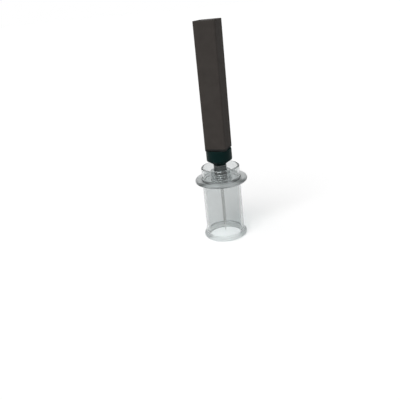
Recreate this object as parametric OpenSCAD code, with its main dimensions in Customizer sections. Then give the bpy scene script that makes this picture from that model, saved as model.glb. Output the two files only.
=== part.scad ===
// Air pump wine opener. The square handle is pumped up and down on its barrel, and the air goes
// through a ball valve and out of a hollow needle. A clear guard stands round the needle and slides
// on the hub above it. The guard's wide flange is what the tool is pulled out of the guard by.
// Millimetres, +Z up the tool's axis, origin at the middle of the guard's foot.

/* [Guard] */
// Depth of the socket, from the foot up to its stop face
socket_depth = 55; // [50:0.5:62]
// Outside diameter of the guard's tube
guard_od = 37; // [34:0.5:40]
// Wall thickness of the guard's tube
guard_wall = 2; // [1.4:0.1:3]
// Outside diameter of the rounded foot
foot_od = 42; // [40.5:0.5:48]
// Height of the bead round the foot
bead_h = 6; // [5:0.2:8]
// Radius of the flare between the bead and the tube
flare_r = 4; // [2:0.2:7]
// Outside diameter of the pull flange
flange_od = 50.4; // [44:0.2:60]
// Thickness of the pull flange
flange_t = 4; // [3:0.2:6]
// Thickness of the web between the tube and the boss
web_t = 2.4; // [1.6:0.1:3.4]
// Height of the web's underside above the stop face
web_rise = 2.7; // [1.5:0.1:4]
// Height of the rim above the flange's upper face
rim_rise = 11.2; // [8:0.2:14]
// Radius of the fillets beside the flange
flange_fillet = 1; // [0.4:0.1:2]
// Outside diameter of the boss that slides on the hub
boss_od = 19.3; // [17:0.1:22]
// Height of the boss above the stop face
boss_h = 13; // [9:0.2:16]
// Thickness of the boss's floor
boss_floor = 2.4; // [1.5:0.1:4]

/* [Needle] */
// Outside diameter of the needle
needle_d = 3; // [2:0.1:3.2]
// Diameter of the air bore in the needle
needle_bore_d = 1.4; // [0.8:0.1:1.6]
// Length of the needle below the stop face
needle_len = 51; // [40:0.5:54]
// Length of the point
point_len = 10; // [6:0.5:14]
// Diameter of the flat left at the tip
tip_d = 0.3; // [0.2:0.05:0.6]
// Diameter of the air port through the side of the needle
port_d = 1.1; // [0.6:0.1:1.3]
// Diameter of the shank that is pressed into the hub
shank_d = 3.4; // [3.2:0.1:4.6]
// Length of the shank inside the hub
shank_grip = 8.6; // [5:0.2:10]

/* [Hub] */
// Diameter of the hub over its ridges
hub_d = 12.5; // [11.5:0.1:14]
// Length of the hub between the guard's floor and the nose
hub_h = 16.2; // [14:0.2:20]
// Spacing of the ridges
ridge_pitch = 2; // [1.6:0.1:2.4]
// Number of ridges
ridge_count = 4; // [2:1:4]
// Depth of the grooves between the ridges
ridge_depth = 0.6; // [0.3:0.05:0.8]
// Diameter of the hub's threaded spigot
spigot_d = 7.6; // [7:0.1:8.2]
// Length of the hub's threaded spigot
spigot_h = 5; // [4:0.2:6]
// Thickness of the rubber rings on the hub
ring_cs = 1; // [0.8:0.05:1.1]

/* [End cap] */
// Diameter of the collar
collar_d = 24.6; // [22:0.2:27]
// Height of the collar's straight wall
collar_h = 10.6; // [9:0.2:16]
// Radius of the collar's edges
collar_edge = 0.6; // [0.3:0.1:1.2]
// Height of the cone between the collar and the nose
cone_h = 4; // [2:0.2:6]
// Diameter of the nose under the cone
nose_d = 12; // [11:0.1:13]
// Length of the nose under the cone
nose_h = 0.8; // [0.4:0.1:3]
// Depth of the seat that the barrel stands in
seat_depth = 7; // [5:0.2:8]

/* [Valve] */
// Diameter of the valve's ball
ball_d = 4.8; // [4.4:0.1:5]
// Diameter of the air hole in the valve's seat
valve_hole_d = 3; // [2.2:0.1:3.6]
// Diameter of the valve's seat
valve_seat_d = 9; // [8:0.2:10]
// Thickness of the valve's seat
valve_seat_t = 2; // [1.4:0.1:2.2]
// Bore of the chamber round the ball
chamber_d = 5.6; // [5.4:0.1:6.2]
// Depth of the spring's well below the top of the spigot
well_depth = 7.4; // [6.8:0.1:8]
// Wire diameter of the valve's spring
wire_d = 0.4; // [0.3:0.05:0.5]
// Number of turns of the valve's spring
spring_turns = 5; // [4:1:6]

/* [Pump] */
// Outside diameter of the barrel
barrel_od = 15; // [14.4:0.1:15.6]
// Wall thickness of the barrel
barrel_wall = 0.9; // [0.6:0.1:1.2]
// Diameter of the piston rod
rod_d = 6; // [5:0.1:7]
// Diameter of the threaded stub that carries the piston
stub_d = 4; // [3:0.1:4.4]
// Length of the gland inside the barrel
gland_h = 6; // [4:0.5:10]
// Thickness of the gland's square lip above the barrel
gland_lip = 2; // [1.4:0.1:3]
// Diameter of the air vents through the gland
vent_d = 1.4; // [0.8:0.1:1.6]
// Length of the piston's core
core_h = 8; // [6:0.5:12]
// Radius of the air notches down the core
notch_r = 0.8; // [0.5:0.1:1.2]
// Height of the piston's rubber cup
cup_h = 4; // [3:0.1:4.6]
// Thickness of the cup's web and of its lip where it leaves the web
cup_t = 1.4; // [1:0.1:1.8]
// Thickness of the washer under the cup
cup_washer_t = 0.8; // [0.5:0.1:1.2]
// Height of the nut on the stub
nut_h = 3; // [2.4:0.1:4]
// Width of the nut across its flats
nut_w = 7; // [6:0.1:7.4]
// Space left under the piston when the handle is down
piston_gap = 0.8; // [0.4:0.1:2]

/* [Handle] */
// Width of the square handle across its flats
handle_w = 20.8; // [20:0.1:24]
// Length of the handle
handle_len = 116.7; // [100:0.1:140]
// Radius of the handle's corners
handle_r = 2.2; // [1.6:0.1:4]
// Wall thickness of the handle
handle_wall = 1.7; // [1.4:0.05:1.9]
// Radius of the corners inside the handle
bore_corner = 1.1; // [0.6:0.1:1.6]
// Width of the ledge that the top cap stands on
ledge = 0.4; // [0.2:0.05:0.8]
// Depth of the top cap below the handle's rim
cap_inset = 0.4; // [0:0.1:1]
// Height of the top cap
top_cap_h = 10; // [9:0.2:14]
// Length of the rod that is held in the top cap
rod_grip = 5; // [4:0.2:6]
// Thickness of the rubber bump ring on the rod
bump_t = 2; // [1:0.1:3]
// Diameter of the bump ring
bump_d = 12; // [9:0.2:14]
// Height of the guide bush inside the handle
bush_h = 7; // [5:0.5:14]
// Thickness of the bush's flange under the handle
bush_flange_t = 2; // [1.4:0.1:3]

/* [Fasteners] */
// Shank diameter of the screw that holds the rod
screw_d = 3; // [2.5:0.1:3.4]
// Head diameter of that screw
screw_head_d = 6.4; // [5.4:0.1:7]
// Head height of that screw
screw_head_h = 1.7; // [1.2:0.1:2]
// Width of the cross recess in its head
screw_slot_w = 1; // [0.6:0.1:1.2]
// Length of that screw under its head
screw_len = 10; // [8:0.5:16]
// Thickness of the washer under its head
screw_washer_t = 0.6; // [0.4:0.1:0.8]
// Diameter of that washer
screw_washer_d = 7.6; // [7:0.1:8.2]
// Diameter of the plug that hides the screw
plug_d = 8.4; // [8.2:0.1:9.4]
// Thickness of that plug
plug_t = 1.2; // [0.8:0.1:1.6]

/* [Clearances] */
// Radial gap of pieces that are pressed or screwed together
press_gap = 0.02; // [0.01:0.01:0.05]
// Radial gap of pieces that slide on each other
run_gap = 0.06; // [0.03:0.01:0.1]
// Gap between moving faces at rest
rest_gap = 0.3; // [0.2:0.05:0.5]
// Gap beside the gland's square lip, which stops the handle from turning
key_gap = 0.25; // [0.15:0.05:0.4]
// Radial gap between the guard's boss and the hub
guard_gap = 0.15; // [0.1:0.05:0.3]
// Radial gap round the needle's shank in the guard's floor
needle_gap = 0.3; // [0.2:0.05:0.6]
// Gap between the closed valve's ball and what it touches
ball_gap = 0.05; // [0.02:0.01:0.08]
// Radial gap round the ball in the spring's well
well_gap = 0.2; // [0.15:0.05:0.3]

/* [Hidden] */
$fn = 96;

// Length by which a cut runs past the face that it opens
past = 1;

// Radii
guard_r = guard_od / 2;
socket_r = guard_r - guard_wall;
rim_r = guard_wall / 2;
bead_r = bead_h / 2;
bead_x = foot_od / 2 - bead_r;
edge_r = flange_t / 2;
boss_r = boss_od / 2;
hub_r = hub_d / 2;
boss_bore_r = hub_r + guard_gap;
needle_r = needle_d / 2;
shank_r = shank_d / 2;
spigot_r = spigot_d / 2;
collar_r = collar_d / 2;
nose_r = nose_d / 2;
ball_r = ball_d / 2;
barrel_r = barrel_od / 2;
barrel_bore_r = barrel_r - barrel_wall;
rod_r = rod_d / 2;
stub_r = stub_d / 2;
screw_r = screw_d / 2;

// Levels up the axis, each from the one below it
stop_z = socket_depth;
web_z = stop_z + web_rise;
flange_z = web_z + (web_t - flange_t) / 2;
rim_z = flange_z + flange_t + rim_rise;
boss_top_z = stop_z + boss_h;
hub_z = stop_z + boss_floor;
nose_z = hub_z + hub_h;
spigot_top_z = nose_z + spigot_h;
cone_z = nose_z + nose_h;
collar_z = cone_z + cone_h;
collar_top_z = collar_z + collar_h;
barrel_seat_z = collar_top_z - seat_depth;
barrel_z = barrel_seat_z + barrel_wall;
handle_z = collar_top_z + rest_gap;
bush_z = handle_z + bush_flange_t;
handle_top_z = handle_z + handle_len;
cap_top_z = handle_top_z - cap_inset;
cap_z = cap_top_z - top_cap_h;
rod_top_z = cap_z + rod_grip;
bump_z = cap_z - bump_t;
gland_top_z = bump_z - rest_gap;
barrel_top_z = gland_top_z - gland_lip;
gland_z = barrel_top_z - gland_h;

// The flare touches the bead and the tube, so its centre follows from both radii
flare_x = guard_r + flare_r;
flare_z = bead_r + sqrt(pow(bead_r + flare_r, 2) - pow(flare_x - bead_x, 2));

// Needle
tip_z = stop_z - needle_len;
point_z = tip_z + point_len;
port_z = point_z + 2 * port_d;
shank_top_z = hub_z + shank_grip;

// Hub: ridges from its lower end up, then the ring that grips the guard
groove_r = hub_r - ridge_depth;
ridge_foot = 3 * ridge_pitch / 8;
ridge_crest = ridge_pitch / 8;
first_ridge_z = hub_z + ridge_pitch / 2;
ring_z = first_ridge_z + ridge_count * ridge_pitch;
ring_r = boss_bore_r - guard_gap / 2 - ring_cs / 2;
seal_r = spigot_r + press_gap + ring_cs / 2;

// Valve, with its ball just under the seat
well_r = ball_r + well_gap;
well_z = spigot_top_z - well_depth;
valve_seat_z = barrel_seat_z - valve_seat_t;
ball_z = valve_seat_z - sqrt(pow(ball_r, 2) - pow(valve_hole_d / 2, 2)) - ball_gap;
wire_r = wire_d / 2;
coil_r = well_r - well_gap - wire_r;
coil_z = well_z + wire_r + ball_gap;
coil_top_z = ball_z - sqrt(pow(ball_r + wire_r + ball_gap, 2) - pow(coil_r, 2));
coil_pitch = (coil_top_z - coil_z) / spring_turns;

// Piston, upwards from its nut
nut_z = barrel_seat_z + piston_gap;
cup_washer_z = nut_z + nut_h;
cup_web_z = cup_washer_z + cup_washer_t;
core_z = cup_web_z + cup_t;
core_top_z = core_z + core_h;
cup_lip_z = core_z - cup_h;
cup_r = barrel_bore_r - run_gap;
core_r = barrel_bore_r - rest_gap;
cup_washer_r = cup_r - cup_t - rest_gap;

// Handle
handle_bore_w = handle_w - 2 * handle_wall;
cap_w = handle_bore_w + 2 * ledge;
plug_z = cap_top_z - plug_t;
head_z = plug_z - rest_gap - screw_head_h;
screw_washer_z = head_z - screw_washer_t;
screw_end_z = head_z - screw_len;
vent_x = (rod_r + barrel_bore_r) / 2;

// How far the piston rises before its core meets the gland
pump_stroke = gland_z - core_top_z;
echo(pump_stroke = pump_stroke);
echo(guard_height = rim_z, overall_height = handle_top_z);
echo(spring_gap = coil_pitch - wire_d);

// A square with round corners, centred on the axis
module round_square(w, r) {
    square([w, w - 2 * r], center = true);
    square([w - 2 * r, w], center = true);
    for (x = [-1, 1], y = [-1, 1])
        translate([x * (w / 2 - r), y * (w / 2 - r)]) circle(r);
}

// A straight bar of that section between two levels
module round_bar(w, r, z0, z1) {
    translate([0, 0, z0]) linear_extrude(z1 - z0) round_square(w, r);
}

// A cylinder between two levels
module rod_between(r, z0, z1) {
    translate([0, 0, z0]) cylinder(r = r, h = z1 - z0);
}

// A flat ring between two levels
module ring_between(r_in, r_out, z0, z1) {
    difference() {
        rod_between(r_out, z0, z1);
        rod_between(r_in, z0 - past, z1 + past);
    }
}

// A rubber ring of round section
module round_ring(mean_r, cs, z) {
    translate([0, 0, z]) rotate_extrude() translate([mean_r, 0]) circle(cs / 2);
}

// A rectangle of a turned section, from radius x0 to x1 and level z0 to z1
module band(x0, x1, z0, z1) {
    translate([x0, z0]) square([x1 - x0, z1 - z0]);
}

// A fillet in an inside corner of a turned section; sz points into the open quarter
module fillet(x, z, r, sz) {
    difference() {
        band(x, x + r, min(z, z + sz * r), max(z, z + sz * r));
        translate([x + r, z + sz * r]) circle(r);
    }
}

module guard_section() {
    // Foot: a round bead that flares into the tube
    band(socket_r, bead_x, 0, bead_r);
    translate([bead_x, bead_r]) circle(bead_r);
    difference() {
        polygon([[bead_x, bead_r], [flare_x, flare_z], [guard_r - rim_r, flare_z]]);
        translate([flare_x, flare_z]) circle(flare_r);
    }
    // Tube with a round rim
    band(socket_r, guard_r, bead_r, rim_z - rim_r);
    translate([guard_r - rim_r, rim_z - rim_r]) circle(rim_r);
    // Pull flange with a round edge, and the web at the same level inside
    band(guard_r - rim_r, flange_od / 2 - edge_r, flange_z, flange_z + flange_t);
    translate([flange_od / 2 - edge_r, flange_z + edge_r]) circle(edge_r);
    band(boss_bore_r, guard_r - rim_r, web_z, web_z + web_t);
    fillet(guard_r, flange_z, flange_fillet, -1);
    fillet(guard_r, flange_z + flange_t, flange_fillet, 1);
    // Boss for the hub, with a floor that the needle passes through
    band(boss_bore_r, boss_r, stop_z, boss_top_z);
    band(shank_r + needle_gap, boss_r, stop_z, hub_z);
}

module needle_guard() {
    color([0.86, 0.88, 0.88, 0.35]) rotate_extrude() guard_section();
}

module needle() {
    color("silver") difference() {
        union() {
            translate([0, 0, tip_z]) cylinder(r1 = tip_d / 2, r2 = needle_r, h = point_len);
            rod_between(needle_r, point_z, stop_z);
            rod_between(shank_r, stop_z, shank_top_z);
        }
        rod_between(needle_bore_d / 2, port_z, shank_top_z + past);
        translate([0, 0, port_z]) rotate([0, 90, 0])
            cylinder(d = port_d, h = needle_d + past, center = true);
    }
}

// The hub's outline: ridges with sloping sides at its lower end, then a plain cylinder
module hub_outline() {
    ridges = [for (i = [0 : ridge_count - 1]) let (z = first_ridge_z + i * ridge_pitch) each [
        [groove_r, z - ridge_foot],
        [hub_r, z - ridge_crest],
        [hub_r, z + ridge_crest],
        [groove_r, z + ridge_foot]
    ]];
    plain_z = ring_z - ring_cs;
    polygon(concat(
        [[0, hub_z], [groove_r, hub_z]],
        ridges,
        [[groove_r, plain_z], [hub_r, plain_z], [hub_r, nose_z], [spigot_r, nose_z]],
        [[spigot_r, spigot_top_z], [0, spigot_top_z]]
    ));
}

module needle_hub() {
    color("gray") difference() {
        rotate_extrude() hub_outline();
        rod_between(shank_r + press_gap, hub_z - past, shank_top_z);
        rod_between(needle_bore_d / 2, shank_top_z - past, well_z + past);
        rod_between(well_r, well_z, spigot_top_z + past);
        // Groove for the ring that grips the guard, and groove for the seal under the nose
        ring_between(ring_r - ring_cs / 2 - press_gap, hub_r + past,
                     ring_z - ring_cs / 2 - press_gap, ring_z + ring_cs / 2 + press_gap);
        ring_between(spigot_r, seal_r + ring_cs / 2 + press_gap,
                     nose_z - ring_cs - 2 * press_gap, nose_z + past);
    }
}

module grip_ring() {
    color("dimgray") round_ring(ring_r, ring_cs, ring_z);
}

module hub_seal() {
    color("black") round_ring(seal_r, ring_cs, nose_z - ring_cs / 2 - press_gap);
}

module end_cap_section() {
    // Collar with round edges above and below
    band(0, collar_r, collar_z + collar_edge, collar_top_z - collar_edge);
    band(0, collar_r - collar_edge, collar_z, collar_top_z);
    for (z = [collar_z + collar_edge, collar_top_z - collar_edge])
        translate([collar_r - collar_edge, z]) circle(collar_edge);
    // Cone down to the nose
    polygon([[0, cone_z], [nose_r, cone_z], [collar_r - collar_edge, collar_z], [0, collar_z]]);
    band(0, nose_r, nose_z, cone_z);
}

module end_cap() {
    color([0.1, 0.11, 0.11]) difference() {
        rotate_extrude() end_cap_section();
        rod_between(barrel_r + press_gap, barrel_seat_z, collar_top_z + past);
        rod_between(valve_seat_d / 2 + press_gap, valve_seat_z, barrel_seat_z + past);
        rod_between(chamber_d / 2, nose_z, valve_seat_z + past);
        rod_between(spigot_r + press_gap, nose_z - past, spigot_top_z + press_gap);
    }
}

module valve_seat() {
    color("goldenrod") ring_between(valve_hole_d / 2, valve_seat_d / 2, valve_seat_z, barrel_seat_z);
}

module valve_ball() {
    color("silver") translate([0, 0, ball_z]) sphere(ball_r);
}

// Rings of wire along the coil, each with its points round the wire
wire_sides = 6;
rings_per_turn = 12;
spring_rings = spring_turns * rings_per_turn;
function coil_ring(i) =
    let (turn = i / rings_per_turn, a = 360 * turn, z = coil_z + coil_pitch * turn)
    [for (k = [0 : wire_sides - 1]) let (b = 360 * k / wire_sides, x = coil_r + wire_r * cos(b))
        [x * cos(a), x * sin(a), z + wire_r * sin(b)]];

module valve_spring() {
    points = [for (i = [0 : spring_rings]) each coil_ring(i)];
    last = spring_rings * wire_sides;
    walls = [for (i = [0 : spring_rings - 1], k = [0 : wire_sides - 1])
        let (a = i * wire_sides + k, b = i * wire_sides + (k + 1) % wire_sides)
        each [[a, a + wire_sides, b], [b, a + wire_sides, b + wire_sides]]];
    ends = [for (k = [1 : wire_sides - 2]) each [[0, k, k + 1], [last, last + k + 1, last + k]]];
    color("silver") polyhedron(points, concat(walls, ends));
}

module barrel_seal() {
    color("black") round_ring(barrel_r - barrel_wall / 2, barrel_wall - press_gap,
                              barrel_seat_z + barrel_wall / 2);
}

module pump_barrel() {
    color("lightgray") ring_between(barrel_bore_r, barrel_r, barrel_z, barrel_top_z);
}

// The gland guides the rod, and its square lip keys the handle
module gland_bush() {
    color("black") difference() {
        union() {
            rod_between(barrel_bore_r - press_gap, gland_z, barrel_top_z);
            round_bar(handle_bore_w - 2 * key_gap, bore_corner - key_gap, barrel_top_z, gland_top_z);
        }
        rod_between(rod_r + run_gap, gland_z - past, gland_top_z + past);
        for (a = [0 : 90 : 270]) rotate([0, 0, a])
            translate([vent_x, 0, gland_z - past])
                cylinder(d = vent_d, h = gland_h + gland_lip + 2 * past);
    }
}

module handle_sleeve() {
    color([0.22, 0.21, 0.2]) difference() {
        round_bar(handle_w, handle_r, bush_z, handle_top_z);
        round_bar(handle_bore_w, bore_corner, bush_z - past, handle_top_z);
        round_bar(cap_w, bore_corner, cap_z, handle_top_z + past);
    }
}

module top_cap() {
    color([0.2, 0.2, 0.2]) difference() {
        round_bar(cap_w - 2 * press_gap, bore_corner, cap_z, cap_top_z);
        rod_between(rod_r + press_gap, cap_z - past, rod_top_z);
        rod_between(screw_r + run_gap, rod_top_z - past, screw_washer_z + past);
        rod_between(plug_d / 2 + press_gap, screw_washer_z, cap_top_z + past);
    }
}

module cap_plug() {
    color([0.16, 0.16, 0.16]) rod_between(plug_d / 2, plug_z, cap_top_z);
}

module rod_screw() {
    color("silver") difference() {
        union() {
            rod_between(screw_r, screw_end_z, head_z);
            rod_between(screw_head_d / 2, head_z, head_z + screw_head_h);
        }
        for (a = [0, 90]) rotate([0, 0, a])
            translate([0, 0, head_z + screw_head_h])
                cube([screw_head_d - 2 * screw_slot_w, screw_slot_w, screw_head_h], center = true);
    }
}

module screw_washer() {
    color("silver") ring_between(screw_r + run_gap, screw_washer_d / 2, screw_washer_z, head_z);
}

module piston_rod() {
    color("silver") difference() {
        union() {
            rod_between(stub_r, nut_z, core_top_z);
            rod_between(rod_r, core_top_z, rod_top_z);
        }
        rod_between(screw_r + press_gap, screw_end_z - past, rod_top_z + past);
    }
}

module bump_ring() {
    color("black") ring_between(rod_r + press_gap, bump_d / 2, bump_z, cap_z);
}

module sleeve_bush() {
    color([0.12, 0.12, 0.12]) difference() {
        union() {
            round_bar(handle_w, handle_r, handle_z, bush_z);
            round_bar(handle_bore_w - 2 * press_gap, bore_corner, bush_z, bush_z + bush_h);
        }
        rod_between(barrel_r + run_gap, handle_z - past, bush_z + bush_h + past);
    }
}

module piston_core() {
    color("white") difference() {
        rod_between(core_r, core_z, core_top_z);
        rod_between(stub_r + press_gap, core_z - past, core_top_z + past);
        // Notches that let air past the core on the way up
        for (a = [0 : 90 : 270]) rotate([0, 0, a])
            translate([core_r, 0, core_z - past]) cylinder(r = notch_r, h = core_h + 2 * past);
    }
}

// The cup opens downwards, so that pressure below it spreads its lip against the barrel
module piston_cup() {
    color("black") rotate_extrude() polygon([
        [stub_r + press_gap, core_z],
        [cup_r - cup_t / 2, core_z],
        [cup_r, core_z - cup_t / 2],
        [cup_r, cup_lip_z],
        [cup_r - cup_t / 2, cup_lip_z],
        [cup_r - cup_t, cup_web_z],
        [stub_r + press_gap, cup_web_z]
    ]);
}

module cup_washer() {
    color("silver") ring_between(stub_r + press_gap, cup_washer_r, cup_washer_z, cup_web_z);
}

module piston_nut() {
    color("silver") difference() {
        translate([0, 0, nut_z]) cylinder(r = nut_w / sqrt(3), h = nut_h, $fn = 6);
        rod_between(stub_r + press_gap, nut_z - past, cup_washer_z + past);
    }
}

needle_guard();
needle();
needle_hub();
grip_ring();
hub_seal();
end_cap();
valve_seat();
valve_ball();
valve_spring();
barrel_seal();
pump_barrel();
gland_bush();
handle_sleeve();
top_cap();
cap_plug();
rod_screw();
screw_washer();
piston_rod();
bump_ring();
sleeve_bush();
piston_core();
piston_cup();
cup_washer();
piston_nut();
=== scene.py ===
# Air pump wine opener: finished surfaces, materials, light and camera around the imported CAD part.
import math
from types import SimpleNamespace

import bpy
import numpy as np
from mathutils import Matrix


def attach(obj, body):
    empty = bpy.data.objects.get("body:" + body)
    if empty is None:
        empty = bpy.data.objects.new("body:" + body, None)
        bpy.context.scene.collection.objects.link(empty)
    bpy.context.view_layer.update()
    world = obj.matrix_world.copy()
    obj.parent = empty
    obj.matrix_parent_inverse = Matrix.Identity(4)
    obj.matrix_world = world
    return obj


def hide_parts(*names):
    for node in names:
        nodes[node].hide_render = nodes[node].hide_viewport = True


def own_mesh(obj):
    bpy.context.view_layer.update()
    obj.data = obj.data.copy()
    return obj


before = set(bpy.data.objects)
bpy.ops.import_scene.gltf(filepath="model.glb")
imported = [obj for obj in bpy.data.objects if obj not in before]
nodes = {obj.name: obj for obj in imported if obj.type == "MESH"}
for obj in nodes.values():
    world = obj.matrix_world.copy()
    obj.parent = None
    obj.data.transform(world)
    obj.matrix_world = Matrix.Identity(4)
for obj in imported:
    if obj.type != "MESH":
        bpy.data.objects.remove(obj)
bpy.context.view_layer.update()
mm = 0.001                       # the pieces below are written in millimetres
print("frame loaded:", len(nodes), "nodes")


# Surfaces

# A broken line whose corners become arcs. An arc of radius r touches both sides of its corner: its
# centre is on the bisector, r / sin(half angle) from the corner. Each straight run gets a point close
# to either end, which keeps it flat under smooth shading. Gives the points and 1 on the arcs, else 0.
def softLine(corners, radii, steps=5, margin=0.3):
    p, r = np.array(corners, float), np.array(radii, float)[:, None]
    mid = p[1:-1]
    u, v = p[:-2] - mid, p[2:] - mid
    u /= np.linalg.norm(u, axis=1, keepdims=True)
    v /= np.linalg.norm(v, axis=1, keepdims=True)
    half = 0.5 * np.arccos(np.clip((u * v).sum(1, keepdims=True), -1, 1))
    bisector = (u + v) / np.linalg.norm(u + v, axis=1, keepdims=True)
    centre = mid + bisector * r / np.sin(half)
    start, stop = mid + u * r / np.tan(half), mid + v * r / np.tan(half)
    a0 = np.arctan2(*(start - centre).T[::-1])[:, None]
    a1 = np.arctan2(*(stop - centre).T[::-1])[:, None]
    sweep = (a1 - a0 + math.pi) % (2 * math.pi) - math.pi
    turn = a0 + sweep * np.linspace(0, 1, steps + 1)
    arcs = centre[:, None] + r[:, None] * np.stack([np.cos(turn), np.sin(turn)], -1)
    runStart, runStop = np.concatenate([p[:1], stop]), np.concatenate([start, p[-1:]])
    run = runStop - runStart
    length = np.linalg.norm(run, axis=1, keepdims=True)
    lead = run / length * np.minimum(margin, length / 3)
    near = np.stack([runStart + lead, runStop - lead], 1)
    body = np.concatenate([near[:-1], arcs], 1).reshape(-1, 2)
    flags = np.concatenate([np.zeros((len(mid), 2)), np.ones(arcs.shape[:2])], 1).ravel()
    points = np.concatenate([p[:1], body, near[-1], p[-1:]])
    return points, np.concatenate([[0], flags, [0, 0, 0]])


# The same for a closed section, whose first corner is a point inside a straight run
def softLoop(corners, radii, steps=5, margin=0.3):
    points, marks = softLine([*corners, corners[0]], radii, steps, margin)
    return points[:-1], marks[:-1]


# An arc about a centre, between two angles in degrees
def arcLine(centre, radius, fromDeg, toDeg, steps):
    turn = np.radians(np.linspace(fromDeg, toDeg, steps + 1))
    return np.array(centre) + radius * np.stack([np.cos(turn), np.sin(turn)], -1)


# A profile of (radius, height) carried round the axis: x = radius cos a, y = radius sin a
def lathe(profile, sides):
    a = np.arange(sides) * 2 * math.pi / sides
    r, z = profile[:, :1], profile[:, 1:2]
    return np.stack([r * np.cos(a), r * np.sin(a), z + 0 * a], -1)


# The path round a square with round corners, as unit arrays K and N. A point at half width w and corner
# radius r is (w - r) K + r N: K runs from corner to corner of the unit square, N turns on the corners.
# The third array is 0 on the flats and rises to 1 in the middle of each corner.
def squarePath(cornerSteps, shares):
    quarter = np.arange(4)[:, None] * math.pi / 2
    turn = quarter + np.linspace(0, math.pi / 2, cornerSteps + 1)
    diagonal = quarter + math.pi / 4
    corner = math.sqrt(2) * np.stack([np.cos(diagonal), np.sin(diagonal)], -1)
    after = np.roll(corner, -1, 0)
    f = np.array(shares)[None, :, None]
    k = np.concatenate([corner + 0 * turn[..., None], (1 - f) * corner + f * after], 1)
    flat = quarter + math.pi / 2 + 0 * f[..., 0]
    n = np.concatenate([turn, flat], 1)
    onCorner = np.concatenate([np.sin(2 * (turn - quarter)), 0 * flat], 1)
    return k.reshape(-1, 2), np.stack([np.cos(n), np.sin(n)], -1).reshape(-1, 2), onCorner.ravel()


# Points in the plane, row by row, lifted to each row's height
def lifted(flat, rows):
    z = np.broadcast_to(rows[:, 1, None, None], (*flat.shape[:2], 1))
    return np.concatenate([flat, z], -1)


# Rows of (half width, height) carried along a square path; the corner radius follows the half width
def squareTube(rows, cornerAt, path):
    k, n, _ = path
    w = rows[:, 0, None, None]
    r = np.interp(w, *cornerAt)
    return lifted((w - r) * k + r * n, rows)


# Rows of (radius, height) carried round the axis at the angles where a square path's points stand
def roundRows(rows, path, half, corner):
    k, n, _ = path
    p = (half - corner) * k + corner * n
    unit = p / np.linalg.norm(p, axis=1, keepdims=True)
    return lifted(rows[:, 0, None, None] * unit, rows)


# Faces of a grid of points that closes across its columns, as corner numbers and each face's start in them.
# The rows close into a ring, or, with poles, two more points follow the grid and get fans.
def gridFaces(rows, cols, poles):
    index = np.arange(rows * cols).reshape(rows, cols)
    beside = np.roll(index, -1, 1)
    below, belowNext = index, beside
    above, aboveNext = np.roll(index, -1, 0), np.roll(beside, -1, 0)
    quads = np.stack([below, belowNext, aboveNext, above], -1)
    quads = (quads[:-1] if poles else quads).reshape(-1, 4)
    loops, starts = quads.ravel(), np.arange(len(quads)) * 4
    if poles:
        foot, tip = np.full(cols, rows * cols), np.full(cols, rows * cols + 1)
        footFan = np.stack([foot, beside[0], index[0]], -1)
        tipFan = np.stack([tip, index[-1], beside[-1]], -1)
        fans = np.concatenate([footFan, tipFan])
        starts = np.concatenate([starts, len(loops) + np.arange(len(fans)) * 3])
        loops = np.concatenate([loops, fans.ravel()])
    return loops, starts


def newObject(name, data):
    thing = bpy.data.objects.new(name, data)
    bpy.context.scene.collection.objects.link(thing)
    return thing


# A piece from a grid of points. With poles, its first and its last row are single points. edge is 1 on the
# worn edges, and on the hub's ridge crests, where it is a painted highlight. A section that runs clockwise,
# with an area below 0, is turned, so that faces point outwards.
def gridPiece(name, points, edge, body, material, stands, poles=False):
    width, height = np.hypot(points[:, 0, 0], points[:, 0, 1]), points[:, 0, 2]
    area = (width * np.roll(height, -1) - np.roll(width, -1) * height).sum()
    if area < 0:
        points, edge = points[::-1], edge[::-1]
    if poles:
        rings = points[1:-1]
        verts = np.concatenate([rings.reshape(-1, 3), points[0, :1], points[-1, :1]])
        marks = np.concatenate([edge[1:-1].ravel(), edge[0, :1], edge[-1, :1]])
    else:
        rings, verts, marks = points, points.reshape(-1, 3), edge.ravel()
    loops, starts = gridFaces(*rings.shape[:2], poles)
    mesh = bpy.data.meshes.new(name)
    mesh.vertices.add(len(verts))
    mesh.vertices.foreach_set("co", (verts * mm).astype(np.float32).ravel())
    mesh.loops.add(len(loops))
    mesh.loops.foreach_set("vertex_index", loops.astype(np.int32))
    mesh.polygons.add(len(starts))
    mesh.polygons.foreach_set("loop_start", starts.astype(np.int32))
    mesh.update(calc_edges=True)
    mesh.polygons.foreach_set("use_smooth", np.ones(len(starts), bool))
    mesh.attributes.new("edge", "FLOAT", "POINT").data.foreach_set("value", marks.astype(np.float32))
    mesh.validate()
    mesh.materials.append(material)
    piece = newObject(name, mesh)
    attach(piece, body)
    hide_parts(*stands)
    print("piece:", name, len(starts), "faces")
    return piece


# Shader nodes

# Inputs of a node, by name or number: a plain value is set, and a socket is linked
def setInputs(tree, node, inputs):
    for key, value in inputs.items():
        if isinstance(value, bpy.types.NodeSocket):
            tree.links.new(value, node.inputs[key])
        else:
            node.inputs[key].default_value = value


def addNode(tree, kind, inputs=None, **settings):
    node = tree.nodes.new("ShaderNode" + kind)
    for key, value in settings.items():
        setattr(node, key, value)
    setInputs(tree, node, inputs or {})
    return node


# The result of a Math node on its values, in their order
def workOut(tree, operation, *values):
    return addNode(tree, "Math", dict(enumerate(values)), operation=operation).outputs[0]


# value = low + (high - low) * mask
def between(tree, mask, low, high):
    return addNode(tree, "MapRange", {"Value": mask, "To Min": low, "To Max": high}).outputs["Result"]


# mask = (value - low) / (high - low), held between 0 and 1
def wayFrom(tree, value, low, high):
    return addNode(tree, "MapRange", {"Value": value, "From Min": low, "From Max": high}).outputs["Result"]


# A vector with each part multiplied by its own factor
def stretched(tree, vector, factors):
    return addNode(tree, "VectorMath", {0: vector, 1: factors}, operation="MULTIPLY").outputs[0]


# Distance from the axis
def radiusOf(tree, vector):
    flat = stretched(tree, vector, (1.0, 1.0, 0.0))
    return addNode(tree, "VectorMath", {0: flat}, operation="LENGTH").outputs["Value"]


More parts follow.
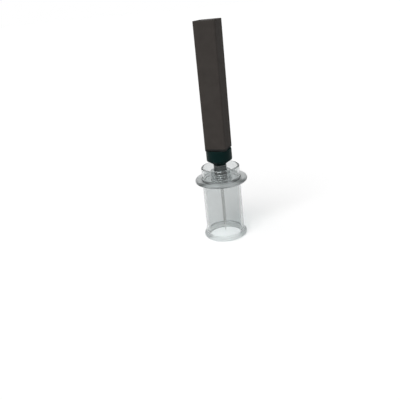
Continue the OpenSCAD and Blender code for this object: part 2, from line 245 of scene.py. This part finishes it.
def noise(tree, vector, scale, detail, distortion=0.0):
    inputs = {"Vector": vector, "Scale": scale, "Detail": detail, "Distortion": distortion}
    return addNode(tree, "TexNoise", inputs).outputs["Fac"]


# A normal from a height over the surface
def bumped(tree, height, strength, distance):
    return addNode(tree, "Bump", {"Height": height, "Strength": strength, "Distance": distance}).outputs[0]


# A mix of two colours, each three numbers or a socket. 6, 7 and 2 are the Mix node's colour sockets.
def mixColour(tree, mask, first, second):
    mix = addNode(tree, "Mix", {"Factor": mask}, data_type="RGBA")
    for key, colour in ((6, first), (7, second)):
        linked = isinstance(colour, bpy.types.NodeSocket)
        setInputs(tree, mix, {key: colour if linked else (*colour, 1)})
    return mix.outputs[2]


# A group with its inputs, where None stands for a vector, and its outputs
def newGroup(name, inputs, outputs):
    tree = bpy.data.node_groups.new(name, "ShaderNodeTree")
    for label, value in inputs.items():
        kind = "NodeSocketVector" if value is None else "NodeSocketFloat"
        socket = tree.interface.new_socket(name=label, in_out="INPUT", socket_type=kind)
        if value is not None:
            socket.default_value = value
    for label in outputs:
        tree.interface.new_socket(name=label, in_out="OUTPUT", socket_type="NodeSocketFloat")
    return tree, tree.nodes.new("NodeGroupInput").outputs, tree.nodes.new("NodeGroupOutput").inputs


def useGroup(tree, group, inputs):
    return addNode(tree, "Group", inputs, node_tree=group).outputs


# Fine moulded grain: a small noise with a share of a coarser one. Patch is the coarse noise alone.
def makeGrain(coarser=0.05, share=0.33):
    tree, given, put = newGroup("mouldGrain", {"Vector": None, "Scale": 3000.0}, ["Height", "Patch"])
    fine = noise(tree, given["Vector"], given["Scale"], detail=2.0)
    coarse = noise(tree, given["Vector"], workOut(tree, "MULTIPLY", given["Scale"], coarser), detail=3.0)
    tree.links.new(workOut(tree, "MULTIPLY_ADD", coarse, share, fine), put["Height"])
    tree.links.new(coarse, put["Patch"])
    return tree


# Worn edges: the piece's edge mark broken up by noise
def makeRub(low=0.35, high=0.65):
    tree, given, put = newGroup("edgeRub", {"Vector": None, "Edge": 0.0, "Scale": 900.0}, ["Mask"])
    chips = noise(tree, given["Vector"], given["Scale"], detail=4.0)
    tree.links.new(workOut(tree, "MULTIPLY", given["Edge"], wayFrom(tree, chips, low, high)), put["Mask"])
    return tree


# Handling marks: wide soft patches, drawn out along the axis
def makeSmudge(alongAxis=0.45, swirl=0.6, low=0.3, high=0.7):
    tree, given, put = newGroup("softSmudge", {"Vector": None, "Scale": 60.0}, ["Mask"])
    drawn = stretched(tree, given["Vector"], (1.0, 1.0, alongAxis))
    cloud = noise(tree, drawn, given["Scale"], detail=5.0, distortion=swirl)
    tree.links.new(wayFrom(tree, cloud, low, high), put["Mask"])
    return tree


# Tool lines. Turned: noise over (radius, height), so that it makes rings. Drawn: noise stretched along Z.
def makeLines(alongAxis=0.012, detail=3.0):
    tree, given, put = newGroup("toolLines", {"Vector": None, "Scale": 4000.0}, ["Turned", "Drawn"])
    height = addNode(tree, "SeparateXYZ", {"Vector": given["Vector"]}).outputs["Z"]
    rings = addNode(tree, "CombineXYZ", {"X": radiusOf(tree, given["Vector"]), "Y": height}).outputs[0]
    drawn = stretched(tree, given["Vector"], (1.0, 1.0, alongAxis))
    tree.links.new(noise(tree, rings, given["Scale"], detail), put["Turned"])
    tree.links.new(noise(tree, drawn, given["Scale"], detail), put["Drawn"])
    return tree


grain, rub, smudge, lines = makeGrain(), makeRub(), makeSmudge(), makeLines()


# Materials

# A material with its node tree, its shader, and the place on the piece
def newMaterial(name):
    material = bpy.data.materials.new(name)
    material.use_nodes = True
    tree = material.node_tree
    place = addNode(tree, "TexCoord").outputs["Object"]
    return material, tree, tree.nodes["Principled BSDF"], place


# Moulded plastic: two close tones by patches, paler and smoother on rubbed edges, grain in the bump
def mouldedPlastic(name, settings):
    look = SimpleNamespace(**settings)
    material, tree, shader, place = newMaterial(name)
    grained = useGroup(tree, grain, {"Vector": place, "Scale": look.grainScale})
    smudged = useGroup(tree, smudge, {"Vector": place, "Scale": look.smudgeScale})["Mask"]
    edge = addNode(tree, "Attribute", attribute_name="edge").outputs["Fac"]
    rubbed = useGroup(tree, rub, {"Vector": place, "Edge": edge, "Scale": look.rubScale})["Mask"]
    worn = workOut(tree, "MULTIPLY", rubbed, look.rubShare)
    tone = mixColour(tree, grained["Patch"], look.dark, look.pale)
    rough = between(tree, smudged, *look.roughness)
    setInputs(tree, shader, {
        "Base Color": mixColour(tree, worn, tone, look.rubTone),
        "Roughness": workOut(tree, "MULTIPLY_ADD", worn, -look.rubPolish, rough),
        "Normal": bumped(tree, grained["Height"], look.grain, look.grainDepth),
        "Specular IOR Level": look.specular})
    return material


# Metal: tool lines in the bump and the roughness, a slight change of tone by smudges, edges rubbed to a
# lighter tone. On the hub's ridge crests that lighter tone is a painted highlight, not wear.
def workedMetal(name, settings):
    look = SimpleNamespace(**settings)
    material, tree, shader, place = newMaterial(name)
    lined = useGroup(tree, lines, {"Vector": place, "Scale": look.lineScale})[look.line]
    smudged = useGroup(tree, smudge, {"Vector": place, "Scale": look.smudgeScale})["Mask"]
    edge = addNode(tree, "Attribute", attribute_name="edge").outputs["Fac"]
    tone = mixColour(tree, smudged, look.dark, look.pale)
    setInputs(tree, shader, {
        "Base Color": mixColour(tree, edge, tone, look.bright),
        "Roughness": between(tree, lined, *look.roughness),
        "Normal": bumped(tree, lined, look.lines, look.lineDepth),
        "Metallic": 1.0})
    return material


# Clear moulded plastic: glass, very slightly milky, with a grey tone that deepens with thickness, faint
# ripples from the mould and patches of handling. The grey base colour is partly the plastic's own and partly
# painted shade, standing in for a darker background seen through it. From frostFrom to frostTo, away from
# the axis, it turns scuffed and dull, and its colour greyer still, again partly painted shade. It bends light
# less than a polished block would, which keeps its edges pale.
# Lamps shine through it.
def clearMoulding(name, settings):
    look = SimpleNamespace(**settings)
    material, tree, shader, place = newMaterial(name)
    smudged = useGroup(tree, smudge, {"Vector": place, "Scale": look.smudgeScale})["Mask"]
    rippled = useGroup(tree, grain, {"Vector": place, "Scale": look.rippleScale})["Patch"]
    outer = wayFrom(tree, radiusOf(tree, place), look.frostFrom, look.frostTo)
    polished = between(tree, smudged, *look.roughness)
    # Base Color: a grey that is partly the plastic's own and partly painted shade, greyer in the outer zone
    setInputs(tree, shader, {
        "Base Color": mixColour(tree, outer, look.tint, look.outerTint),
        "Roughness": workOut(tree, "MULTIPLY_ADD", outer, look.frost, polished),
        "Normal": bumped(tree, rippled, look.ripple, look.rippleDepth),
        "Transmission Weight": look.clearness,
        "IOR": look.bend})
    lampRay = addNode(tree, "LightPath").outputs["Is Shadow Ray"]
    letThrough = addNode(tree, "BsdfTransparent", {"Color": (*look.lampTint, 1)}).outputs[0]
    mix = addNode(tree, "MixShader", {0: lampRay, 1: shader.outputs[0], 2: letThrough})
    depth = addNode(tree, "VolumeAbsorption", {"Color": (*look.depthTint, 1), "Density": look.depth})
    output = tree.nodes["Material Output"]
    setInputs(tree, output, {"Surface": mix.outputs[0], "Volume": depth.outputs[0]})
    return material


# Rubber: near black, dull, with a fine grain
def dullRubber(name, settings):
    look = SimpleNamespace(**settings)
    material, tree, shader, place = newMaterial(name)
    grained = useGroup(tree, grain, {"Vector": place, "Scale": look.grainScale})
    setInputs(tree, shader, {
        "Base Color": mixColour(tree, grained["Patch"], look.dark, look.pale),
        "Roughness": between(tree, grained["Patch"], *look.roughness),
        "Normal": bumped(tree, grained["Height"], look.grain, look.grainDepth)})
    return material


# Finishes, one dictionary for each
handleBlack = mouldedPlastic("handleBlack", dict(
    dark=(0.036, 0.0316, 0.0287), pale=(0.051, 0.0453, 0.0414), roughness=(0.74, 0.86), specular=0.08,
    rubTone=(0.080, 0.073, 0.068), rubShare=0.4, rubScale=900.0, rubPolish=0.12,
    grainScale=2600.0, grain=0.5, grainDepth=0.0002, smudgeScale=55.0))
capBlack = mouldedPlastic("capBlack", dict(
    dark=(0.020, 0.0192, 0.0180), pale=(0.028, 0.0268, 0.0252), roughness=(0.42, 0.55), specular=0.3,
    rubTone=(0.06, 0.058, 0.055), rubShare=0.4, rubScale=900.0, rubPolish=0.1,
    grainScale=4200.0, grain=0.25, grainDepth=0.00006, smudgeScale=70.0))
collarBlack = mouldedPlastic("collarBlack", dict(
    dark=(0.0006, 0.0090, 0.0084), pale=(0.0013, 0.0130, 0.0123), roughness=(0.36, 0.5), specular=0.06,
    rubTone=(0.012, 0.026, 0.025), rubShare=0.35, rubScale=900.0, rubPolish=0.1,
    grainScale=3600.0, grain=0.3, grainDepth=0.0001, smudgeScale=70.0))
bushBlack = mouldedPlastic("bushBlack", dict(
    dark=(0.010, 0.0105, 0.0105), pale=(0.016, 0.0165, 0.0165), roughness=(0.62, 0.75), specular=0.1,
    rubTone=(0.04, 0.04, 0.04), rubShare=0.3, rubScale=900.0, rubPolish=0.1,
    grainScale=3600.0, grain=0.2, grainDepth=0.00005, smudgeScale=80.0))
coreWhite = mouldedPlastic("coreWhite", dict(
    dark=(0.66, 0.65, 0.61), pale=(0.74, 0.73, 0.69), roughness=(0.35, 0.5), specular=0.5,
    rubTone=(0.8, 0.8, 0.77), rubShare=0.3, rubScale=900.0, rubPolish=0.05,
    grainScale=3600.0, grain=0.15, grainDepth=0.00005, smudgeScale=90.0))
# The two grey base colours are partly painted shade for a darker background seen through the guard
guardClear = clearMoulding("guardClear", dict(
    clearness=0.985, bend=1.28, tint=(0.79, 0.803, 0.803), outerTint=(0.68, 0.69, 0.69),
    lampTint=(0.80, 0.83, 0.83), depthTint=(0.63, 0.66, 0.662), depth=90.0,
    frostFrom=0.0187, frostTo=0.0195, frost=0.36, roughness=(0.015, 0.05), smudgeScale=45.0,
    rippleScale=2600.0, ripple=0.05, rippleDepth=0.0002))
# On the hub, the lighter edge tone also goes on the ridge crests as a painted highlight
hubGrey = workedMetal("hubGrey", dict(
    dark=(0.07, 0.077, 0.076), pale=(0.11, 0.118, 0.117), bright=(0.72, 0.73, 0.73), roughness=(0.2, 0.32),
    line="Turned", lineScale=5200.0, lines=0.3, lineDepth=0.00004, smudgeScale=120.0))
needleSteel = workedMetal("needleSteel", dict(
    dark=(0.56, 0.56, 0.55), pale=(0.64, 0.64, 0.63), bright=(0.70, 0.70, 0.69), roughness=(0.14, 0.26),
    line="Drawn", lineScale=6000.0, lines=0.15, lineDepth=0.00003, smudgeScale=150.0))
barrelAluminium = workedMetal("barrelAluminium", dict(
    dark=(0.40, 0.41, 0.42), pale=(0.52, 0.53, 0.54), bright=(0.68, 0.69, 0.70), roughness=(0.2, 0.4),
    line="Drawn", lineScale=2600.0, lines=0.35, lineDepth=0.00006, smudgeScale=70.0))
rodSteel = workedMetal("rodSteel", dict(
    dark=(0.54, 0.54, 0.54), pale=(0.62, 0.62, 0.62), bright=(0.68, 0.68, 0.68), roughness=(0.16, 0.28),
    line="Drawn", lineScale=5000.0, lines=0.15, lineDepth=0.00003, smudgeScale=120.0))
brightSteel = workedMetal("brightSteel", dict(
    dark=(0.60, 0.60, 0.61), pale=(0.68, 0.68, 0.69), bright=(0.74, 0.74, 0.75), roughness=(0.18, 0.3),
    line="Turned", lineScale=5000.0, lines=0.15, lineDepth=0.00003, smudgeScale=150.0))
seatBrass = workedMetal("seatBrass", dict(
    dark=(0.58, 0.40, 0.15), pale=(0.68, 0.49, 0.20), bright=(0.76, 0.58, 0.28), roughness=(0.2, 0.34),
    line="Turned", lineScale=5000.0, lines=0.2, lineDepth=0.00003, smudgeScale=150.0))
ringRubber = dullRubber("ringRubber", dict(
    dark=(0.012, 0.012, 0.012), pale=(0.022, 0.022, 0.022), roughness=(0.5, 0.7),
    grainScale=5000.0, grain=0.2, grainDepth=0.00004))
print("materials made:", len(bpy.data.materials))


# Pieces

# The edge mark of a turned piece: its profile's marks on every column
def allRound(marks, sides):
    return np.repeat(marks[:, None], sides, 1)


# A turned piece: its profile and marks carried round the axis
def turnedPiece(name, profile, marks, sides, body, material, stands, poles=False):
    gridPiece(name, lathe(profile, sides), allRound(marks, sides), body, material, stands, poles)


# Clear guard: a bead that flares into the tube, a flange, an open rim, and a boss for the hub inside
guard = dict(
    wallOut=18.5, wallIn=16.5, bead=(18.0, 3.0), beadR=3.0, flare=(22.5, 8.362), flareR=4.0,
    flangeOut=25.2, flangeLow=56.9, flangeHigh=60.9, flangeEdge=1.98, fillet=1.0, rim=72.1, rimR=0.98,
    webLow=57.7, webHigh=60.1, bossOut=9.65, bossBore=6.4, bossTop=68.0, bossFloor=57.4, stopFace=55.0,
    holeR=2.0, webFillet=0.6, soft=0.3, holeEdge=0.15, sides=176)


def makeGuard(g):
    lean = math.degrees(math.atan2(g.flare[1] - g.bead[1], g.flare[0] - g.bead[0]))
    bead = arcLine(g.bead, g.beadR, -90, lean, steps=16)
    flare = arcLine(g.flare, g.flareR, 180 + lean, 180, steps=10)
    corners = [
        flare[-1], (g.wallOut, g.flangeLow), (g.flangeOut, g.flangeLow), (g.flangeOut, g.flangeHigh),
        (g.wallOut, g.flangeHigh), (g.wallOut, g.rim), (g.wallIn, g.rim), (g.wallIn, g.webHigh),
        (g.bossOut, g.webHigh), (g.bossOut, g.bossTop), (g.bossBore, g.bossTop), (g.bossBore, g.bossFloor),
        (g.holeR, g.bossFloor), (g.holeR, g.stopFace), (g.bossOut, g.stopFace), (g.bossOut, g.webLow),
        (g.wallIn, g.webLow), (g.wallIn, 0.0), bead[0]]
    radii = [
        g.fillet, g.flangeEdge, g.flangeEdge, g.fillet, g.rimR, g.rimR, g.webFillet, g.webFillet, g.soft,
        g.soft, g.soft, g.holeEdge, g.holeEdge, g.soft, g.webFillet, g.webFillet, g.soft]
    upper, marks = softLine(corners, radii, steps=8)
    profile = np.concatenate([bead, flare[1:-1], upper[:-1]])
    edge = np.concatenate([np.zeros(len(profile) - len(upper) + 1), marks[:-1]])
    turnedPiece("guardShell", profile, edge, g.sides, "guard", guardClear, ["needle_guard"])


makeGuard(SimpleNamespace(**guard))

# Ridged hub: ridges with sloping sides, a groove for its rubber ring, a bored spigot. Its section starts at
# faceR on the lower face. Each ridge has its corners at ridgeAt, in shares of the pitch.
hub = dict(
    low=57.4, faceR=3.6, ridges=4, pitch=2.0, first=58.4, ridgeAt=(-0.375, -0.125, 0.125, 0.375),
    crestR=6.25, grooveR=5.65, plain=65.4, ringIn=5.305, ringLow=65.88, ringHigh=66.92, shoulder=73.6,
    sealIn=3.8, sealOut=4.84, sealLow=72.56, top=78.6, wellR=2.6, wellLow=71.2, boreR=0.7, shankR=1.72,
    shankTop=66.0, soft=0.1, edgeWear=0.3, sides=128)


def makeHub(h):
    middle = h.first + np.arange(h.ridges) * h.pitch
    heights = (middle[:, None] + h.pitch * np.array(h.ridgeAt)).ravel()
    widths = np.tile([h.grooveR, h.crestR, h.crestR, h.grooveR], h.ridges)
    corners = [
        (h.faceR, h.low), (h.grooveR, h.low), *np.stack([widths, heights], 1), (h.grooveR, h.plain),
        (h.crestR, h.plain), (h.crestR, h.ringLow), (h.ringIn, h.ringLow), (h.ringIn, h.ringHigh),
        (h.crestR, h.ringHigh), (h.crestR, h.shoulder), (h.sealOut, h.shoulder), (h.sealOut, h.sealLow),
        (h.sealIn, h.sealLow), (h.sealIn, h.top), (h.wellR, h.top), (h.wellR, h.wellLow),
        (h.boreR, h.wellLow), (h.boreR, h.shankTop), (h.shankR, h.shankTop), (h.shankR, h.low)]
    profile, marks = softLoop(corners, [h.soft] * (len(corners) - 1), steps=3, margin=0.08)
    # The ridge crests get edge mark 1 and so the lighter tone: a painted highlight. Above plain, the mark is
    # real edge wear.
    paintedCrestHighlight = (profile[:, 0] > h.crestR - h.soft) & (profile[:, 1] < h.plain - h.soft)
    edge = np.where(paintedCrestHighlight, 1.0, h.edgeWear * marks * (profile[:, 1] > h.plain))
    turnedPiece("ridgedHub", profile, edge, h.sides, "pump", hubGrey, ["needle_hub"])


makeHub(SimpleNamespace(**hub))

# Collar under the handle: nose, cone, straight wall, and the stepped bore that holds barrel and valve. Its
# section starts at faceR on the lower face.
collar = dict(
    low=73.6, faceR=4.9, noseR=6.0, coneLow=74.4, coneTop=78.4, coneR=11.7, wallR=12.3, top=89.0,
    bore=[(7.52, 89.0), (7.52, 82.0), (4.52, 82.0), (4.52, 80.0), (2.8, 80.0), (2.8, 78.62), (3.82, 78.62),
          (3.82, 73.6)],
    edge=0.5, soft=0.2, boreSoft=0.1, sides=160)


def makeCollar(c):
    corners = [
        (c.faceR, c.low), (c.noseR, c.low), (c.noseR, c.coneLow), (c.coneR, c.coneTop), (c.wallR, c.coneTop),
        (c.wallR, c.top), *c.bore]
    radii = [c.soft, c.soft, c.soft, c.edge, c.edge, *[c.boreSoft] * len(c.bore)]
    profile, marks = softLoop(corners, radii, steps=6)
    turnedPiece("collarCap", profile, marks, c.sides, "pump", collarBlack, ["end_cap"])


makeCollar(SimpleNamespace(**collar))

# Pump barrel: a drawn tube with its ends broken
barrel = dict(out=7.5, bore=6.6, low=82.9, top=191.3, soft=0.2, sides=128)


def makeBarrel(b):
    middle = (b.out + b.bore) / 2
    corners = [(middle, b.low), (b.out, b.low), (b.out, b.top), (b.bore, b.top), (b.bore, b.low)]
    profile, marks = softLoop(corners, [b.soft] * 4)
    turnedPiece("drawnBarrel", profile, marks, b.sides, "pump", barrelAluminium,
                ["pump_barrel"])


makeBarrel(SimpleNamespace(**barrel))

# Square grip: an open tube with a ledge for its cap near the top. From its outer wall to wearDepth inside it,
# the corners along it count as worn edges by the share cornerWear.
grip = dict(
    half=10.4, corner=2.2, boreHalf=8.7, boreCorner=1.1, ledgeHalf=9.1, ledge=195.6, low=91.3, top=206.0,
    topEdge=0.5, soft=0.2, ledgeSoft=0.1, cornerSteps=10, shares=[0.02, 0.25, 0.5, 0.75, 0.98],
    wearDepth=0.6, cornerWear=0.5)
gripPath = squarePath(grip["cornerSteps"], grip["shares"])


# The edge mark of a square piece: the larger of its profile's mark and, on its outer wall, the worn corner's
def squareEdges(marks, rows, half):
    onWall = rows[:, 0] > half - grip["wearDepth"]
    return np.maximum(marks[:, None], grip["cornerWear"] * onWall[:, None] * gripPath[2])


def makeGrip(g):
    middle = (g.half + g.boreHalf) / 2
    corners = [
        (middle, g.low), (g.half, g.low), (g.half, g.top), (g.ledgeHalf, g.top), (g.ledgeHalf, g.ledge),
        (g.boreHalf, g.ledge), (g.boreHalf, g.low)]
    rows, marks = softLoop(corners, [g.soft, g.topEdge, g.soft, g.ledgeSoft, g.ledgeSoft, g.soft])
    cornerAt = ([g.boreHalf, g.ledgeHalf, g.half], [g.boreCorner, g.boreCorner, g.corner])
    points, edge = squareTube(rows, cornerAt, gripPath), squareEdges(marks, rows, g.half)
    gridPiece("squareGrip", points, edge, "handle", handleBlack, ["handle_sleeve"])


makeGrip(SimpleNamespace(**grip))


# Points and edge marks of a square piece with a round bore: the bore's rows follow those of the outside.
# The last half width and corner of cornerAt are the outer wall's.
def boredSquare(outside, bore, cornerAt):
    (outRows, outMarks), (boreRows, boreMarks) = outside, bore
    half, corner = cornerAt[0][-1], cornerAt[1][-1]
    points = [squareTube(outRows, cornerAt, gripPath), roundRows(boreRows, gripPath, half, corner)]
    edges = [squareEdges(outMarks, outRows, half), allRound(boreMarks, len(gripPath[0]))]
    return np.concatenate(points), np.concatenate(edges)


# Guide bush under the grip: a square flange, a square spigot in the grip, a round bore for the barrel. Its
# lower face turns from square to round between lowHalf and lowR, its upper one between topHalf and topR.
bush = dict(
    half=10.4, corner=2.2, low=89.3, step=91.3, spigotHalf=8.68, spigotCorner=1.1, top=98.3, boreR=7.56,
    lowHalf=8.9, lowR=8.2, topHalf=8.2, topR=7.9, edge=0.3, soft=0.2, stepSoft=0.1)


def makeBush(b):
    outside = softLine(
        [(b.lowHalf, b.low), (b.half, b.low), (b.half, b.step), (b.spigotHalf, b.step), (b.spigotHalf, b.top),
         (b.topHalf, b.top)], [b.edge, b.soft, b.stepSoft, b.soft])
    bore = softLine([(b.topR, b.top), (b.boreR, b.top), (b.boreR, b.low), (b.lowR, b.low)], [b.soft, b.soft])
    points, edge = boredSquare(outside, bore, ([b.spigotHalf, b.half], [b.spigotCorner, b.corner]))
    gridPiece("guideBush", points, edge, "handle", bushBlack, ["sleeve_bush"])


makeBush(SimpleNamespace(**bush))

# Cap in the grip's upper end, bored for the rod and its screw, and the round plug over the screw. The cap's
# faces turn from square to round between faceHalf and faceR.
cap = dict(
    half=9.08, corner=1.1, low=195.6, top=205.6, faceHalf=6.5, faceCorner=0.8, faceR=5.0,
    bore=[(4.22, 205.6), (4.22, 201.8), (1.56, 201.8), (1.56, 200.6), (3.02, 200.6), (3.02, 195.6)],
    edge=0.3, soft=0.2, boreSoft=0.1)
plug = dict(out=4.2, low=204.4, top=205.6, edge=0.2, soft=0.1, sides=96)


def makeCap(c):
    outside = softLine(
        [(c.faceHalf, c.low), (c.half, c.low), (c.half, c.top), (c.faceHalf, c.top)], [c.soft, c.edge])
    bore = softLine([(c.faceR, c.top), *c.bore, (c.faceR, c.low)], [c.boreSoft] * len(c.bore))
    points, edge = boredSquare(outside, bore, ([c.faceHalf, c.half], [c.faceCorner, c.corner]))
    gridPiece("gripCap", points, edge, "handle", capBlack, ["top_cap"])


def makePlug(p):
    corners = [(0, p.low), (p.out, p.low), (p.out, p.top), (0, p.top)]
    profile, marks = softLine(corners, [p.soft, p.edge])
    turnedPiece("capPlug", profile, marks, p.sides, "handle", capBlack, ["cap_plug"],
                poles=True)


makeCap(SimpleNamespace(**cap))
makePlug(SimpleNamespace(**plug))

# Valve ball, a gap below the place where it would touch the edge of the seat's hole
ball = dict(radius=2.4, seat=80.0, holeR=1.5, gap=0.05, steps=32, sides=64)


def makeBall(b):
    middle = b.seat - math.sqrt(b.radius ** 2 - b.holeR ** 2) - b.gap
    profile = arcLine((0, middle), b.radius, -90, 90, b.steps)
    unworn = np.zeros(len(profile))
    turnedPiece("valveBall", profile, unworn, b.sides, "valve", brightSteel, ["valve_ball"],
                poles=True)


makeBall(SimpleNamespace(**ball))

# Valve spring: a round wire carried along a coil. The point at turn t and wire angle b is
# ((coilR + wireR cos b) cos 2 pi t, the same with sin, low + pitch t + wireR sin b).
spring = dict(
    coilR=2.2, wireR=0.2, low=71.45, top=76.6, turns=5, anchor=71.4, travel=1.2, stepsPerTurn=32,
    wireSides=12)


def makeSpring(s):
    t = np.linspace(0, s.turns, s.turns * s.stepsPerTurn + 1)[:, None]
    b = -np.arange(s.wireSides) * 2 * math.pi / s.wireSides      # turned this way the faces point outwards
    out = s.coilR + s.wireR * np.cos(b)
    z = s.low + (s.top - s.low) * t / s.turns + s.wireR * np.sin(b)
    wire = np.stack([out * np.cos(2 * math.pi * t), out * np.sin(2 * math.pi * t), z], -1)
    ends = wire[[0, -1]].mean(1, keepdims=True).repeat(s.wireSides, 1)
    points = np.concatenate([ends[:1], wire, ends[1:]])
    unworn = np.zeros(points.shape[:2])
    piece = gridPiece("valveCoil", points, unworn, "pump", brightSteel, ["valve_spring"],
                      poles=True)
    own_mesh(piece)


makeSpring(SimpleNamespace(**spring))

# CAD nodes that stay get their finish by name
kept = dict(
    needle=needleSteel, grip_ring=ringRubber, hub_seal=ringRubber, barrel_seal=ringRubber,
    bump_ring=ringRubber, piston_cup=ringRubber, valve_seat=seatBrass, rod_screw=brightSteel,
    screw_washer=brightSteel, cup_washer=brightSteel, piston_nut=brightSteel, piston_rod=rodSteel,
    piston_core=coreWhite, gland_bush=bushBlack)
for name, material in kept.items():
    nodes[name].material_slots[0].material = material
print("CAD nodes kept:", len(kept))


# Floor, light and camera

# The floor is pale and takes the object's shadow. For the camera, in mirrors and through glass it glows a
# little as well, so that it reads as white.
stage = dict(size=30.0, albedo=0.8, glow=0.27, sky=0.36, backdrop=1.0)


# 1 for what the camera sees straight on, in a mirror or through glass
def seenDirectly(tree):
    path = addNode(tree, "LightPath").outputs
    either = workOut(tree, "MAXIMUM", path["Is Camera Ray"], path["Is Glossy Ray"])
    return workOut(tree, "MAXIMUM", either, path["Is Transmission Ray"])


def makeFloor(s):
    c = s.size / 2
    mesh = bpy.data.meshes.new("paleFloor")
    mesh.from_pydata([(-c, -c, 0), (c, -c, 0), (c, c, 0), (-c, c, 0)], [], [(0, 1, 2, 3)])
    material = bpy.data.materials.new("paleFloor")
    material.use_nodes = True
    tree = material.node_tree
    tree.nodes.remove(tree.nodes["Principled BSDF"])
    paper = addNode(tree, "BsdfDiffuse", {"Color": (s.albedo, s.albedo, s.albedo, 1)})
    light = addNode(tree, "Emission", {"Strength": workOut(tree, "MULTIPLY", seenDirectly(tree), s.glow)})
    both = addNode(tree, "AddShader", {0: paper.outputs[0], 1: light.outputs[0]})
    tree.links.new(both.outputs[0], tree.nodes["Material Output"].inputs["Surface"])
    mesh.materials.append(material)
    floor = newObject("paleFloor", mesh)


def makeWorld(s):
    world = bpy.data.worlds.new("paleStudio")
    bpy.context.scene.world = world
    world.use_nodes = True
    tree = world.node_tree
    level = between(tree, seenDirectly(tree), s.sky, s.backdrop)
    setInputs(tree, tree.nodes["Background"], {"Strength": level, "Color": (1, 1, 1, 1)})


# Wide soft lamps: strength, angle across in degrees, and the direction they shine from
lamps = dict(
    key=dict(strength=2.2, angle=40, azimuth=-4, elevation=50),
    fill=dict(strength=0.3, angle=60, azimuth=-65, elevation=30))


def makeLamp(name, w):
    lamp = bpy.data.lights.new(name, "SUN")
    lamp.energy, lamp.angle = w.strength, math.radians(w.angle)
    holder = newObject(name, lamp)
    holder.rotation_euler = (math.radians(90 - w.elevation), 0, math.radians(w.azimuth))


# Camera: place in metres, turn in degrees, and what it shows from near to far
camera = dict(
    place=(0.16797, -0.44925, 0.22247), turn=(68.943, 5.732, 21.020), lens=46.8, sensor=36.0,
    near=0.01, far=100)


def makeCamera(c):
    view = bpy.data.cameras.new("photoView")
    view.lens, view.sensor_width = c.lens, c.sensor
    view.clip_start, view.clip_end = c.near, c.far
    holder = newObject("photoView", view)
    holder.location, holder.rotation_euler = c.place, [math.radians(a) for a in c.turn]
    bpy.context.scene.camera = holder


makeFloor(SimpleNamespace(**stage))
makeWorld(SimpleNamespace(**stage))
for name, values in lamps.items():
    makeLamp(name, SimpleNamespace(**values))
makeCamera(SimpleNamespace(**camera))
bpy.context.scene.view_settings.view_transform = "Standard"
print("floor, light and camera set")
